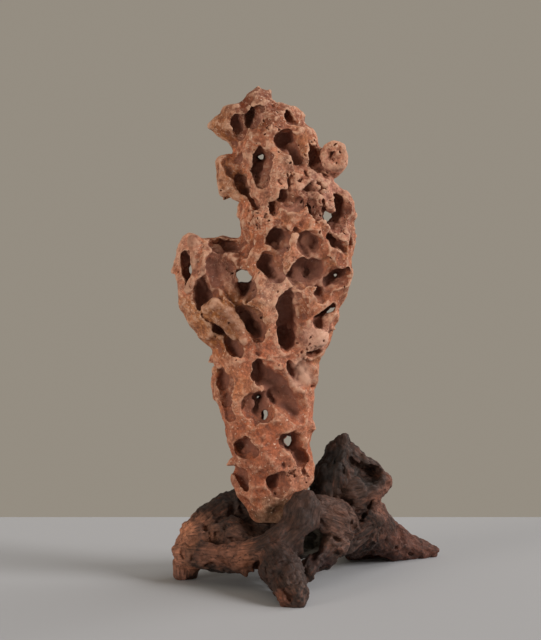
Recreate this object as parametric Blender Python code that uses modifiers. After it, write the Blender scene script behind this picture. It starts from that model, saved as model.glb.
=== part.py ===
"""A scholar's rock: one upright limestone, worn through with pits and tunnels,
standing in a hollow of its root-wood stand.

Each table is in millimetres, with X to the right, Y to the back and Z up, about the
axis of the rock. The whole model is moved at the end so that its origin is the centre
of the base.
"""

import math
import random

import bmesh
import bpy
from mathutils import Matrix, Vector
from mathutils.bvhtree import BVHTree

MM = 0.001
GAP = 0.4                  # clear space between neighbouring pieces
BORE_POINT = (0, -2300, 465)   # the front pits all run away from this far point
BODY_VOXEL = 4.5
CUTTER_VOXEL = 4.0
ROCK_VOXEL = 4.2
STAND_VOXEL = 4.6
ROCK_TRIANGLES = 5900
STAND_TRIANGLES = 2700
SMALLEST_PIT = 45          # half width times half height, in square millimetres
PITS_SEED = 11
BACK_ROW_GAP = 34
BACK_PIT_GAP = 40

# height, left, right, front and back of each level of the column
COLUMN = [
    (85, -19, 17, -14, 20), (97, -35, 32, -28, 32), (120, -43, 50, -38, 40),
    (150, -55, 65, -44, 46), (180, -62, 62, -46, 48), (210, -65, 62, -48, 48),
    (240, -70, 63, -50, 48), (270, -80, 67, -52, 50), (300, -85, 71, -54, 50),
    (330, -84, 75, -56, 52), (352, -86, 86, -58, 54), (382, -86, 99, -60, 56),
    (420, -73, 111, -62, 58), (450, -58, 120, -62, 58), (480, -46, 124, -60, 60),
    (510, -43, 126, -58, 60), (547, -48, 124, -55, 60), (570, -46, 112, -52, 60),
    (592, -48, 96, -50, 58), (622, -52, 84, -48, 58), (652, -58, 75, -46, 56),
    (675, -62, 65, -42, 52), (697, -58, 46, -36, 46), (715, -50, 22, -26, 38),
    (729, -34, 0, -12, 26), (737, -22, -13, 0, 12),
]
# the arm that stands out at the left, with its flat top
THUMB = [
    (345, -88, -40, -30, 30), (360, -102, -40, -38, 34), (378, -115, -40, -42, 38),
    (392, -128, -40, -44, 40), (412, -136, -38, -46, 42), (435, -139, -38, -46, 42),
    (465, -140, -36, -44, 42), (495, -137, -36, -40, 42), (510, -133, -38, -34, 40),
    (518, -126, -44, -24, 34),
]
# x, y, z, half width, half depth, half height
LUMPS = [
    (-64, -4, 606, 20, 26, 30), (-50, -4, 578, 16, 22, 22), (96, -6, 636, 22, 26, 20),
    (98, -6, 624, 17, 22, 17), (35, 8, 698, 18, 22, 12), (68, -38, 366, 20, 20, 17),
    (112, 0, 560, 15, 28, 24), (108, 2, 530, 16, 30, 26),
]
# spurs: x, y, z and radius of the root, then of the tip
SPURS = [
    ((-46, 0, 684, 32), (-90, 0, 681, 3)), ((-46, 2, 700, 20), (-66, 2, 706, 6)),
    ((-62, -4, 590, 14), (-71, -6, 574, 3)), ((-18, 6, 720, 11), (-20, 4, 738, 4)),
    ((-6, 8, 720, 11), (-3, 8, 733, 4)), ((-74, 0, 336, 16), (-90, 0, 327, 3)),
    ((52, -6, 232, 14), (64, -8, 229, 3)), ((-54, -6, 178, 12), (-65, -6, 173, 3)),
    ((-126, 0, 478, 16), (-145, -2, 462, 4)), ((96, 0, 586, 16), (114, 4, 582, 5)),
    ((112, 0, 552, 14), (126, 0, 546, 4)), ((-100, 0, 372, 14), (-104, 0, 356, 3)),
    ((82, -20, 384, 12), (97, -24, 376, 4)), ((-120, 0, 508, 16), (-129, -6, 518, 5)),
]
THROUGH = 200
DRIFT = 0.3                # how far a pit runs to the left for each step inward
DRIFT_ENDS = (-70, -10)    # left of the first there is none, right of the second all of it
# front pits: x, z, half width, half height, lean to the left in degrees, depth
FRONT_PITS = [
    (-49, 682, 9, 17, 0, 26), (-49, 664, 9, 9, 0, 10), (-27, 694, 6, 18, -5, 34),
    (-15, 705, 9, 7, 0, 14), (30, 700, 7, 11, 30, 24), (22, 660, 15, 14, 0, 36),
    (36, 642, 10, 21, 15, 28), (63, 635, 14, 18, 0, 28), (66, 622, 13, 9, 0, 34),
    (-15, 621, 12, 28, -8, 40), (-18, 634, 6, 6, 0, THROUGH),
    (-62, 632, 12, 6, 30, 12), (-61, 616, 6, 20, 48, 13), (-41, 592, 9, 19, 24, 22),
    (-25, 566, 5, 11, 25, 26), (19, 574, 11, 12, 0, 30), (30, 564, 15, 11, 0, 14),
    (57, 583, 10, 6, 0, 18), (27, 594, 4, 9, -10, 16), (2, 558, 5, 11, -12, 20),
    (63, 556, 8, 15, 15, 32), (103, 560, 11, 19, 0, 42), (95, 538, 18, 11, 0, 38),
    (83, 547, 6, 7, 0, THROUGH), (92, 511, 6, 14, 38, 24), (108, 501, 5, 12, 38, 20),
    (-28, 545, 14, 9, 0, 6), (10, 510, 15, 18, 0, 36), (57, 505, 18, 18, 0, 26),
    (71, 503, 7, 15, 0, 32), (-1, 469, 13, 22, 25, 36), (7, 458, 7, 8, 0, 46),
    (52, 465, 29, 18, 0, 28), (32, 457, 11, 14, -10, 40), (59, 461, 10, 13, 0, 42),
    (104, 456, 7, 23, -62, 34), (97, 457, 5, 5, 0, THROUGH), (74, 431, 11, 10, 0, 26),
    (84, 401, 7, 21, -62, 42), (90, 403, 5, 9, -62, THROUGH), (76, 385, 11, 11, 0, 22),
    (24, 391, 16, 45, 0, 38), (24, 366, 14, 20, 0, 54), (-31, 390, 14, 30, 38, 38),
    (-22, 376, 12, 13, 0, 50), (-73, 378, 15, 10, 0, 26), (-58, 353, 9, 20, 34, 24),
    (-46, 458, 8, 11, 0, THROUGH), (-36, 458, 8, 12, 0, THROUGH),
    (-41, 461, 12, 9, 0, THROUGH), (-37, 436, 13, 13, 0, 60),
    (-125, 468, 10, 29, 5, 30), (-118, 468, 6, 13, 0, THROUGH),
    (-101, 424, 14, 31, 10, 36), (-72, 466, 26, 34, 20, 24), (-66, 503, 28, 14, 0, 52),
    (-58, 436, 12, 16, 30, 30), (-15, 311, 12, 21, 12, 36), (16, 281, 17, 46, 40, 24),
    (6, 272, 6, 14, 38, 36), (49, 312, 21, 20, 10, 12), (33, 312, 5, 17, 24, 26),
    (66, 341, 16, 7, 0, 28), (-70, 297, 11, 19, 20, 26), (-64, 272, 11, 14, 10, 24),
    (-66, 252, 7, 13, 15, 14), (-23, 257, 20, 23, 0, 34), (-11, 262, 10, 11, 0, 52),
    (-7, 246, 7, 12, 0, THROUGH), (-18, 274, 4, 6, 0, THROUGH), (-40, 199, 16, 13, 0, 26),
    (-43, 197, 9, 9, 0, 34), (33, 207, 19, 16, 0, 36), (26, 210, 8, 9, 0, THROUGH),
    (48, 180, 12, 15, 20, 24), (-46, 158, 10, 34, 30, 20), (7, 144, 14, 18, 5, 32),
]
# ribs left standing between the pits of the arm: x, y, z and radius along each
RIBS = [
    [(-113, -28, 508, 11), (-111, -34, 490, 9), (-110, -36, 474, 7), (-110, -36, 464, 6),
     (-115, -36, 450, 5), (-121, -34, 436, 6)],
    [(-94, -38, 408, 10), (-80, -44, 412, 13), (-62, -48, 400, 12), (-48, -50, 382, 9),
     (-38, -52, 362, 8)],
    [(-84, -20, 492, 10), (-74, -24, 470, 10), (-64, -28, 446, 11), (-54, -32, 422, 10)],
]

# limbs of the stand: x, y, z and radius along each
LIMBS = [
    # left foot, rising into the arm behind the rock
    [(-124, 2, 12, 24), (-123, 2, 42, 25), (-111, 10, 63, 26), (-90, 27, 80, 28),
     (-64, 42, 97, 28), (-36, 52, 100, 28), (0, 60, 92, 28), (40, 58, 90, 28),
     (70, 45, 95, 30)],
    [(-118, -4, 60, 20), (-133, -6, 54, 12)],
    # front bar, ending in the upright knob
    [(-128, -8, 38, 22), (-100, -38, 41, 21), (-72, -56, 41, 21), (-42, -68, 45, 22),
     (-12, -74, 50, 25), (20, -70, 66, 27), (42, -61, 88, 28), (48, -56, 110, 27),
     (50, -54, 127, 16), (48, -55, 137, 8)],
    # tab hanging from the bar
    [(-36, -72, 42, 12), (-36, -80, 26, 9), (-35, -80, 20, 6)],
    # front foot
    [(10, -85, 42, 28), (18, -118, 36, 30), (24, -150, 25, 29), (32, -172, 14, 25)],
    # burl at the right of the knob
    [(58, -42, 100, 28), (84, -26, 93, 34), (97, -14, 85, 35)],
    # peak
    [(98, 22, 100, 38), (101, 28, 148, 36), (106, 31, 180, 24), (108, 32, 204, 13)],
    [(78, 34, 100, 30), (84, 34, 138, 21), (92, 32, 170, 16)],
    # ridge from the peak down to the shoulder, the far rim of the bowl
    [(108, 36, 192, 17), (134, 40, 167, 19), (158, 42, 151, 18), (173, 38, 143, 13)],
    # shoulder under the bowl
    [(125, 20, 125, 33), (152, 22, 125, 29), (171, 28, 135, 18)],
    # right foot
    [(145, 36, 105, 33), (160, 75, 84, 36), (180, 115, 57, 36), (205, 153, 32, 31),
     (236, 182, 18, 22), (260, 190, 9, 12)],
    # toe of the right foot
    [(140, 60, 70, 34), (138, 115, 44, 34), (136, 166, 19, 24), (190, 182, 14, 18)],
    # ragged root ends under the burl
    [(96, -42, 50, 16), (84, -60, 43, 13), (70, -76, 36, 10), (60, -84, 20, 7)],
    [(75, -48, 50, 16), (78, -62, 34, 8)],
    # back foot
    [(-5, 62, 70, 26), (-25, 95, 48, 24), (-38, 120, 18, 22)],
    # seat under the rock
    [(-14, 26, 60, 33), (5, 22, 60, 34), (30, 18, 62, 34), (62, 26, 60, 34), (98, 30, 62, 34)],
    # web between the left arm and the front bar
    [(-104, -8, 56, 26), (-62, -2, 62, 30), (-24, 4, 52, 28), (-6, -40, 44, 24)],
    [(-56, -26, 68, 18), (-36, -30, 60, 16)],
    [(98, 20, 62, 32), (128, 40, 80, 34)],
]
# hollows of the stand: x, y, z, half width, half depth, half height
HOLLOWS = [
    (151, 0, 158, 23, 34, 15), (61, -58, 62, 14, 46, 20), (-8, -36, 86, 30, 20, 20),
]
# each fork of the stand: name, then the low and high corner of the space it fills
FORKS = [
    ("stand_left_root", (-300, -300, -50), (-78, 300, 300)),
    ("stand_front_root", (-60, -400, -50), (120, -104, 300)),
    ("stand_back_root", (-77, 88, -50), (60, 400, 300)),
    ("stand_right_root", (95, 96, -50), (400, 400, 300)),
    ("stand_peak", (60, -60, 138), (131, 120, 400)),
]
# distance of the base's centre from the axis of the rock
BASE_CENTRE = (60.5, 5.2)


def vector(*values):
    """A place or size in metres from millimetres."""
    return Vector(values) * MM


def ball(bm, x, y, z, across, deep, tall):
    """Add an ellipsoid from its centre and half sizes."""
    place = Matrix.Translation(vector(x, y, z)) @ Matrix.Diagonal((*vector(across, deep, tall), 1))
    bmesh.ops.create_icosphere(bm, subdivisions=3, radius=1, matrix=place)


def limb(bm, points):
    """Add a tapering limb: a ball at each point and a cone between each two."""
    for x, y, z, radius in points:
        ball(bm, x, y, z, radius, radius, radius)
    for start, end in zip(points, points[1:]):
        along = vector(*end[:3]) - vector(*start[:3])
        place = Matrix.Translation(vector(*start[:3]) + along / 2)
        turn = along.to_track_quat("Z", "Y").to_matrix().to_4x4()
        bmesh.ops.create_cone(bm, cap_ends=True, segments=24, radius1=start[3] * MM,
                              radius2=end[3] * MM, depth=along.length, matrix=place @ turn)


def loft(bm, levels):
    """Bridge one ellipse for each level into a closed body."""
    last = None
    for z, left, right, front, back in levels:
        place = Matrix.Translation(vector((left + right) / 2, (front + back) / 2, z))
        size = Matrix.Diagonal((*vector((right - left) / 2, (back - front) / 2), 1, 1))
        circle = bmesh.ops.create_circle(bm, segments=28, radius=1, matrix=place @ size)
        ring = list({edge for vert in circle["verts"] for edge in vert.link_edges})
        if last:
            bmesh.ops.bridge_loops(bm, edges=last + ring)
        else:
            bmesh.ops.holes_fill(bm, edges=ring, sides=0)
        last = ring
    bmesh.ops.holes_fill(bm, edges=last, sides=0)


def new_object(name, bm, collection):
    """Turn an edit mesh into an object of the collection."""
    bmesh.ops.recalc_face_normals(bm, faces=bm.faces)
    mesh = bpy.data.meshes.new(name)
    bm.to_mesh(mesh)
    bm.free()
    piece = bpy.data.objects.new(name, mesh)
    collection.objects.link(piece)
    return piece


def apply_modifiers(piece):
    """Make the evaluated mesh the object's own."""
    graph = bpy.context.evaluated_depsgraph_get()
    mesh = bpy.data.meshes.new_from_object(piece.evaluated_get(graph))
    piece.modifiers.clear()
    piece.data = mesh


def remesh(piece, voxel, rounds):
    """Melt overlapping shapes into one skin and round it off."""
    skin = piece.modifiers.new("Skin", "REMESH")
    skin.mode = "VOXEL"
    skin.voxel_size = voxel * MM
    relax = piece.modifiers.new("Relax", "SMOOTH")
    relax.factor = 0.5
    relax.iterations = rounds
    apply_modifiers(piece)


def roughen(piece, kind, size, height):
    """Raise and sink the surface with a texture of the given size."""
    texture = bpy.data.textures.new(kind.title(), kind)
    texture.noise_scale = size * MM
    bumps = piece.modifiers.new("Roughen", "DISPLACE")
    bumps.texture = texture
    bumps.texture_coords = "GLOBAL"
    bumps.strength = height * MM
    bumps.mid_level = 0.5


def boolean(piece, cutter, operation):
    """Cut one closed mesh with another.

    The exact solver returns nothing for these noisy remeshed skins, so this is the
    manifold solver, which only needs both to be closed.
    """
    cut = piece.modifiers.new("Cut", "BOOLEAN")
    cut.object = cutter
    cut.operation = operation
    cut.solver = "MANIFOLD"
    apply_modifiers(piece)


def keep_largest(piece):
    """Remove every loose island of the mesh but the largest."""
    bm = bmesh.new()
    bm.from_mesh(piece.data)
    waiting = set(bm.verts)
    islands = []
    while waiting:
        island = {waiting.pop()}
        edge_of_island = list(island)
        while edge_of_island:
            vert = edge_of_island.pop()
            for edge in vert.link_edges:
                other = edge.other_vert(vert)
                if other in waiting:
                    waiting.remove(other)
                    island.add(other)
                    edge_of_island.append(other)
        islands.append(island)
    islands.sort(key=len)
    for island in islands[:-1]:
        bmesh.ops.delete(bm, geom=list(island), context="VERTS")
    bm.to_mesh(piece.data)
    bm.free()


def thin_out(piece, triangles):
    """Collapse edges until about that many triangles are left."""
    piece.data.calc_loop_triangles()
    fewer = piece.modifiers.new("Thin", "DECIMATE")
    fewer.ratio = triangles / len(piece.data.loop_triangles)
    fewer.use_collapse_triangulate = True
    apply_modifiers(piece)


def bore(bm, skin, start, aim, across, tall, lean, depth, drift):
    """Add one pit, an ellipsoid sunk along the aim from where it meets the skin."""
    entry = skin.ray_cast(start, aim)[0]
    if entry is None:
        return
    right = aim.cross(Vector((0, 0, 1))).normalized()
    up = right.cross(aim)
    deep = depth * 0.5
    if depth != THROUGH:
        deep = depth * 0.75
        aim = (aim - right * drift + up * drift / 2).normalized()
        right = aim.cross(up).normalized()
    turn = Matrix((right, aim, right.cross(aim))).transposed().to_4x4()
    turn = turn @ Matrix.Rotation(math.radians(-lean), 4, "Y")
    centre = entry + aim * (depth - deep) * MM
    place = Matrix.Translation(centre) @ turn @ Matrix.Diagonal((*vector(across, deep, tall), 1))
    bmesh.ops.create_icosphere(bm, subdivisions=3, radius=1, matrix=place)
    if depth != THROUGH:
        # a shallow slope at the mouth, mostly to the right
        centre = entry + (right * across * 0.35 - up * tall * 0.12) * MM
        mouth = vector(across * 1.2 + 2, 7, tall * 1.1 + 3)
        place = Matrix.Translation(centre) @ turn @ Matrix.Diagonal((*mouth, 1))
        bmesh.ops.create_icosphere(bm, subdivisions=3, radius=1, matrix=place)


def level_at(z):
    """Left, right, front and back of the column at a height."""
    for low, high in zip(COLUMN, COLUMN[1:]):
        if low[0] <= z <= high[0]:
            share = (z - low[0]) / (high[0] - low[0])
            return [a + (b - a) * share for a, b in zip(low[1:], high[1:])]


def bore_back(bm, skin):
    """Sink staggered rows of pits round the back, leaning like those of the front."""
    rng = random.Random(PITS_SEED)
    height = 135
    shifted = False
    while height < 712:
        left, right, front, back = level_at(height)
        step = math.degrees(BACK_PIT_GAP / ((right - left + back - front) / 4))
        angle = -64 + (step / 2 if shifted else 0)
        while angle < 66:
            turn = math.radians(angle + rng.uniform(-6, 6))
            out = Vector((math.sin(turn), math.cos(turn), 0))
            axis = vector((left + right) / 2 + out.x * (right - left) * 0.22,
                          (front + back) / 2, height + rng.uniform(-7, 7))
            aim = Vector((-out.x, -out.y, rng.uniform(-0.25, 0.2))).normalized()
            bore(bm, skin, axis - aim * 0.4, aim, rng.uniform(10, 17), rng.uniform(12, 24),
                 rng.uniform(-40, -15), rng.uniform(16, 34), 0)
            angle += step
        height += BACK_ROW_GAP
        shifted = not shifted


def make_rock(pieces, tools):
    """The worn stone: a lofted column and arm, pitted all over."""
    bm = bmesh.new()
    loft(bm, COLUMN)
    loft(bm, THUMB)
    for lump in LUMPS:
        ball(bm, *lump)
    for spur in SPURS:
        limb(bm, spur)
    rock = new_object("rock", bm, pieces)
    remesh(rock, BODY_VOXEL, 5)
    roughen(rock, "VORONOI", 30, 13)
    roughen(rock, "CLOUDS", 45, 8)
    apply_modifiers(rock)
    skin = BVHTree.FromObject(rock, bpy.context.evaluated_depsgraph_get())
    bm = bmesh.new()
    start = vector(*BORE_POINT)
    for x, z, across, tall, lean, depth in FRONT_PITS:
        if across * tall >= SMALLEST_PIT or depth == THROUGH:
            aim = (vector(x, 0, z) - start).normalized()
            share = (x - DRIFT_ENDS[0]) / (DRIFT_ENDS[1] - DRIFT_ENDS[0])
            drift = DRIFT * min(1, max(0, share))
            bore(bm, skin, start, aim, across, tall, lean, depth, drift)
    bore_back(bm, skin)
    cutter = new_object("rock_pits", bm, tools)
    remesh(cutter, CUTTER_VOXEL, 0)
    roughen(cutter, "CLOUDS", 22, 7)
    apply_modifiers(cutter)
    boolean(rock, cutter, "DIFFERENCE")
    bpy.data.objects.remove(cutter)
    bm = bmesh.new()
    bm.from_mesh(rock.data)
    for rib in RIBS:
        limb(bm, rib)
    bm.to_mesh(rock.data)
    bm.free()
    remesh(rock, ROCK_VOXEL, 2)
    keep_largest(rock)
    thin_out(rock, ROCK_TRIANGLES)
    return rock


def box_object(name, low, high, tools):
    """A closed box between two corners."""
    bm = bmesh.new()
    middle = (vector(*low) + vector(*high)) / 2
    size = vector(*high) - vector(*low)
    bmesh.ops.create_cube(bm, size=1, matrix=Matrix.Translation(middle) @ Matrix.Diagonal((*size, 1)))
    return new_object(name, bm, tools)


def rock_socket(rock, tools):
    """The hull of the rock's lower end, a gap larger all round."""
    bm = bmesh.new()
    bm.from_mesh(rock.data)
    high = [vert for vert in bm.verts if vert.co.z > 175 * MM]
    bmesh.ops.delete(bm, geom=high, context="VERTS")
    hull = bmesh.ops.convex_hull(bm, input=bm.verts)
    spare = set(hull["geom_interior"] + hull["geom_unused"])
    bmesh.ops.delete(bm, geom=[item for item in spare if isinstance(item, bmesh.types.BMVert)],
                     context="VERTS")
    faces_of_rock = [face for face in bm.faces if face not in set(hull["geom"])]
    bmesh.ops.delete(bm, geom=faces_of_rock, context="FACES_ONLY")
    bmesh.ops.recalc_face_normals(bm, faces=bm.faces)
    for vert in bm.verts:
        vert.co += vert.normal * GAP * 1.6 * MM
    return new_object("rock_socket", bm, tools)


def make_stand(rock, pieces, tools):
    """The root stand, parted at its forks."""
    bm = bmesh.new()
    for points in LIMBS:
        limb(bm, points)
    stand = new_object("stand_heart", bm, pieces)
    remesh(stand, STAND_VOXEL, 8)
    roughen(stand, "CLOUDS", 30, 9)
    roughen(stand, "VORONOI", 22, 6)
    apply_modifiers(stand)
    bm = bmesh.new()
    for hollow in HOLLOWS:
        ball(bm, *hollow)
    cutter = new_object("stand_hollows", bm, tools)
    boolean(stand, cutter, "DIFFERENCE")
    bpy.data.objects.remove(cutter)
    remesh(stand, STAND_VOXEL, 2)
    keep_largest(stand)
    thin_out(stand, STAND_TRIANGLES)
    socket = rock_socket(rock, tools)
    boolean(stand, socket, "DIFFERENCE")
    bpy.data.objects.remove(socket)
    below = box_object("floor_cut", (-400, -400, -200), (400, 400, 0), tools)
    boolean(stand, below, "DIFFERENCE")
    bpy.data.objects.remove(below)
    keep_largest(stand)
    made = []
    for name, low, high in FORKS:
        fork = bpy.data.objects.new(name, stand.data.copy())
        pieces.objects.link(fork)
        space = box_object("space", low, high, tools)
        boolean(fork, space, "INTERSECT")
        bpy.data.objects.remove(space)
        keep_largest(fork)
        made.append(fork)
    for name, low, high in FORKS:
        wider = [value - GAP for value in low], [value + GAP for value in high]
        space = box_object("space", *wider, tools)
        boolean(stand, space, "DIFFERENCE")
        bpy.data.objects.remove(space)
    keep_largest(stand)
    return [stand] + made


def material(name, colour, roughness):
    """A plain Principled material."""
    new = bpy.data.materials.new(name)
    new.use_nodes = True
    shader = new.node_tree.nodes["Principled BSDF"]
    shader.inputs["Base Color"].default_value = (*colour, 1)
    shader.inputs["Roughness"].default_value = roughness
    shader.inputs["Metallic"].default_value = 0
    return new


def main():
    for old in list(bpy.data.objects):
        bpy.data.objects.remove(old)
    pieces = bpy.data.collections.new("Scholars rock")
    tools = bpy.data.collections.new("Cutters")
    bpy.context.scene.collection.children.link(pieces)
    bpy.context.scene.collection.children.link(tools)
    stone = material("Stone", (0.44, 0.17, 0.10), 0.8)
    wood = material("Root wood", (0.04, 0.025, 0.02), 0.7)
    rock = make_rock(pieces, tools)
    stand = make_stand(rock, pieces, tools)
    rock.data.materials.append(stone)
    for piece in stand:
        piece.data.materials.append(wood)
    for piece in [rock] + stand:
        piece.data.transform(Matrix.Translation(vector(-BASE_CENTRE[0], -BASE_CENTRE[1], 0)))
        piece.data.shade_smooth()
        piece.data.set_sharp_from_angle(angle=math.radians(50))


main()
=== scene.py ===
import math
import random

import bmesh
import bpy
import numpy as np
from mathutils import Matrix, Vector, noise
from mathutils.bvhtree import BVHTree


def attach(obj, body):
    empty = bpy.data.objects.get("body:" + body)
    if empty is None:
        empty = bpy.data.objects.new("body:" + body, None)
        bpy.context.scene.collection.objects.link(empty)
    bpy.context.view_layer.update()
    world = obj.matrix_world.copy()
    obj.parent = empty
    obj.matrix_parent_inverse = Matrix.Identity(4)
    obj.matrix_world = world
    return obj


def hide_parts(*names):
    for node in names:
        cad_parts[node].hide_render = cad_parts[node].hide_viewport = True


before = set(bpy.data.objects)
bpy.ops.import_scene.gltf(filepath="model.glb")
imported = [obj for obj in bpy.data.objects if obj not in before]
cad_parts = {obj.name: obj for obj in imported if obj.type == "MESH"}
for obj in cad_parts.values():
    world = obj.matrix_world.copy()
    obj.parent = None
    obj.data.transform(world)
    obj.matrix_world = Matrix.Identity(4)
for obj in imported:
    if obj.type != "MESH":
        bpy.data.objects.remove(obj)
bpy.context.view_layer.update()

scene = bpy.context.scene
mm = 0.001
baseCentre = (60.5, 5.2)     # the middle of the base, measured from the rock's axis, in mm
toBase = Matrix.Translation(Vector((-baseCentre[0], -baseCentre[1], 0)) * mm)
viewPoint = (0, -2300, 465)  # where the camera stands, and from where the front's pits are aimed


# shapes: every size below is in millimetres about the rock's axis

def mmVector(*values):
    return Vector(values) * mm


def addEllipsoid(bm, place, across, deep, tall, cuts=3):
    size = Matrix.Diagonal((*mmVector(across, deep, tall), 1))
    bmesh.ops.create_icosphere(bm, subdivisions=cuts, radius=1, matrix=place @ size)


def addBall(bm, x, y, z, across, deep, tall, cuts=3):
    addEllipsoid(bm, Matrix.Translation(mmVector(x, y, z)), across, deep, tall, cuts)


def addLimb(bm, points):
    # a ball at each point and a cone between each two
    for x, y, z, radius in points:
        addBall(bm, x, y, z, radius, radius, radius)
    for start, end in zip(points, points[1:]):
        place = mmVector(*start[:3])
        along = mmVector(*end[:3]) - place
        place = Matrix.Translation(place + along / 2)
        turn = along.to_track_quat("Z", "Y").to_matrix().to_4x4()
        bmesh.ops.create_cone(bm, cap_ends=True, segments=32, radius1=start[3] * mm,
                              radius2=end[3] * mm, depth=along.length, matrix=place @ turn)


def addLoft(bm, levels):
    # one ellipse a level, bridged into a closed body
    last = None
    for z, left, right, front, back in levels:
        place = Matrix.Translation(mmVector((left + right) / 2, (front + back) / 2, z))
        size = Matrix.Diagonal((*mmVector((right - left) / 2, (back - front) / 2), 1, 1))
        verts = bmesh.ops.create_circle(bm, segments=28, radius=1, matrix=place @ size)["verts"]
        ring = [bm.edges.get(pair) for pair in zip(verts, verts[1:] + verts[:1])]
        if last:
            bmesh.ops.bridge_loops(bm, edges=last + ring)
        else:
            bmesh.ops.holes_fill(bm, edges=ring, sides=0)
        last = ring
    bmesh.ops.holes_fill(bm, edges=last, sides=0)


def toObject(name, bm):
    bmesh.ops.recalc_face_normals(bm, faces=bm.faces)
    mesh = bpy.data.meshes.new(name)
    bm.to_mesh(mesh)
    bm.free()
    piece = bpy.data.objects.new(name, mesh)
    scene.collection.objects.link(piece)
    return piece


def editMesh(piece, change):
    bm = bmesh.new()
    bm.from_mesh(piece.data)
    change(bm)
    bm.to_mesh(piece.data)
    bm.free()


def skinOf(piece):
    return BVHTree.FromObject(piece, bpy.context.evaluated_depsgraph_get())


def applyModifiers(piece):
    graph = bpy.context.evaluated_depsgraph_get()
    mesh = bpy.data.meshes.new_from_object(piece.evaluated_get(graph))
    piece.modifiers.clear()
    piece.data = mesh


def remesh(piece, voxel, rounds=0):
    skin = piece.modifiers.new("Skin", "REMESH")
    skin.mode = "VOXEL"
    skin.voxel_size = voxel * mm
    if rounds:
        relax = piece.modifiers.new("Relax", "SMOOTH")
        relax.factor = 0.5
        relax.iterations = rounds
    applyModifiers(piece)


def displace(piece, kind, size, swing):
    # size is the texture's scale and swing how far it moves the surface in all, both in mm
    bumps = piece.modifiers.new("Displace", "DISPLACE")
    bumps.texture = bpy.data.textures.new("Bumps", kind)
    bumps.texture.noise_scale = size * mm
    bumps.texture_coords = "GLOBAL"
    bumps.strength = swing * mm
    return bumps


def roughen(piece, layers):
    for kind, size, height in layers:
        displace(piece, kind, size, height)
    applyModifiers(piece)


def warp(piece, layers):
    # carries the surface sideways as well as in and out
    for size, swing in layers:
        bend = displace(piece, "CLOUDS", size, swing)
        bend.texture.cloud_type = "COLOR"
        bend.direction = "RGB_TO_XYZ"
    applyModifiers(piece)


def meltTogether(name, bm, voxel, warps):
    # overlapping holes melted into closed, uneven shells
    cutter = toObject(name, bm)
    remesh(cutter, voxel)
    warp(cutter, warps)
    return cutter


def cutAway(piece, cutter):
    cut = piece.modifiers.new("Cut", "BOOLEAN")
    cut.object = cutter
    cut.operation = "DIFFERENCE"
    cut.solver = "MANIFOLD"
    applyModifiers(piece)
    bpy.data.objects.remove(cutter)


def thinOut(piece, triangles):
    piece.data.calc_loop_triangles()
    fewer = piece.modifiers.new("Thin", "DECIMATE")
    fewer.ratio = min(1, triangles / len(piece.data.loop_triangles))
    fewer.use_collapse_triangulate = True
    applyModifiers(piece)
    editMesh(piece, closeUp)


def closeUp(bm):
    # thinning leaves a few triangles that hang on one edge, and edges where two walls touch
    stray = True
    while stray:
        stray = [face for face in bm.faces if any(len(edge.link_faces) == 1 for edge in face.edges)]
        bmesh.ops.delete(bm, geom=stray, context="FACES")
    bmesh.ops.collapse(bm, edges=[edge for edge in bm.edges if len(edge.link_faces) > 2])
    bmesh.ops.delete(bm, geom=[edge for edge in bm.edges if edge.is_wire], context="EDGES")


def keepLargest(piece):
    # labels spread along the edges until each island has one
    edges = readEdges(piece.data)
    labels = np.arange(len(piece.data.vertices))
    while True:
        lowest = labels.copy()
        np.minimum.at(lowest, edges[:, 0], labels[edges[:, 1]])
        np.minimum.at(lowest, edges[:, 1], labels[edges[:, 0]])
        lowest = lowest[lowest]
        if (lowest == labels).all():
            break
        labels = lowest
    names, counts = np.unique(labels, return_counts=True)
    loose = labels != names[counts.argmax()]
    if loose.any():
        editMesh(piece, lambda bm: bmesh.ops.delete(
            bm, geom=[vert for vert in bm.verts if loose[vert.index]], context="VERTS"))


# values over the surface

def readPoints(mesh):
    points = np.empty(len(mesh.vertices) * 3)
    mesh.vertices.foreach_get("co", points)
    return points.reshape(-1, 3)


def readNormals(mesh):
    normals = np.empty(len(mesh.vertices) * 3)
    mesh.vertex_normals.foreach_get("vector", normals)
    return normals.reshape(-1, 3)


def readEdges(mesh):
    edges = np.empty(len(mesh.edges) * 2, dtype=np.int64)
    mesh.edges.foreach_get("vertices", edges)
    return edges.reshape(-1, 2)


def pushOut(mesh, heights):
    # moves each vertex along its normal by its own height in mm
    points = readPoints(mesh) + readNormals(mesh) * (heights * mm)[:, None]
    mesh.vertices.foreach_set("co", points.ravel())
    mesh.update()


def relief(mesh, rounds):
    # how far the surface stands above its own smoothed shape, in mm;
    # each round mixes a vertex with the mean of its neighbours
    edges = readEdges(mesh)
    ends = np.concatenate([edges[:, 0], edges[:, 1]])
    others = np.concatenate([edges[:, 1], edges[:, 0]])
    points = readPoints(mesh)
    count = np.bincount(ends, minlength=len(points))
    smooth = points
    for _ in range(rounds):
        mean = np.stack([np.bincount(ends, smooth[others, axis], len(points)) / count
                         for axis in range(3)], axis=1)
        smooth = (smooth + mean) / 2
    return ((points - smooth) * readNormals(mesh)).sum(axis=1) / mm


def storeValue(mesh, name, values):
    kind, field = ("FLOAT", "value") if values.ndim == 1 else ("FLOAT_VECTOR", "vector")
    layer = mesh.attributes.new(name, kind, "POINT")
    layer.data.foreach_set(field, values.astype(np.float32).ravel())


def ridged(place, falloff, finer, octaves):
    # crests and rounded dips about zero
    return noise.ridged_multi_fractal(place, falloff, finer, octaves, 1, 2) - 1


def finishPiece(piece, material):
    piece.data.transform(toBase)
    piece.data.shade_smooth()
    piece.data.materials.clear()
    piece.data.materials.append(material)


# the stone

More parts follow.
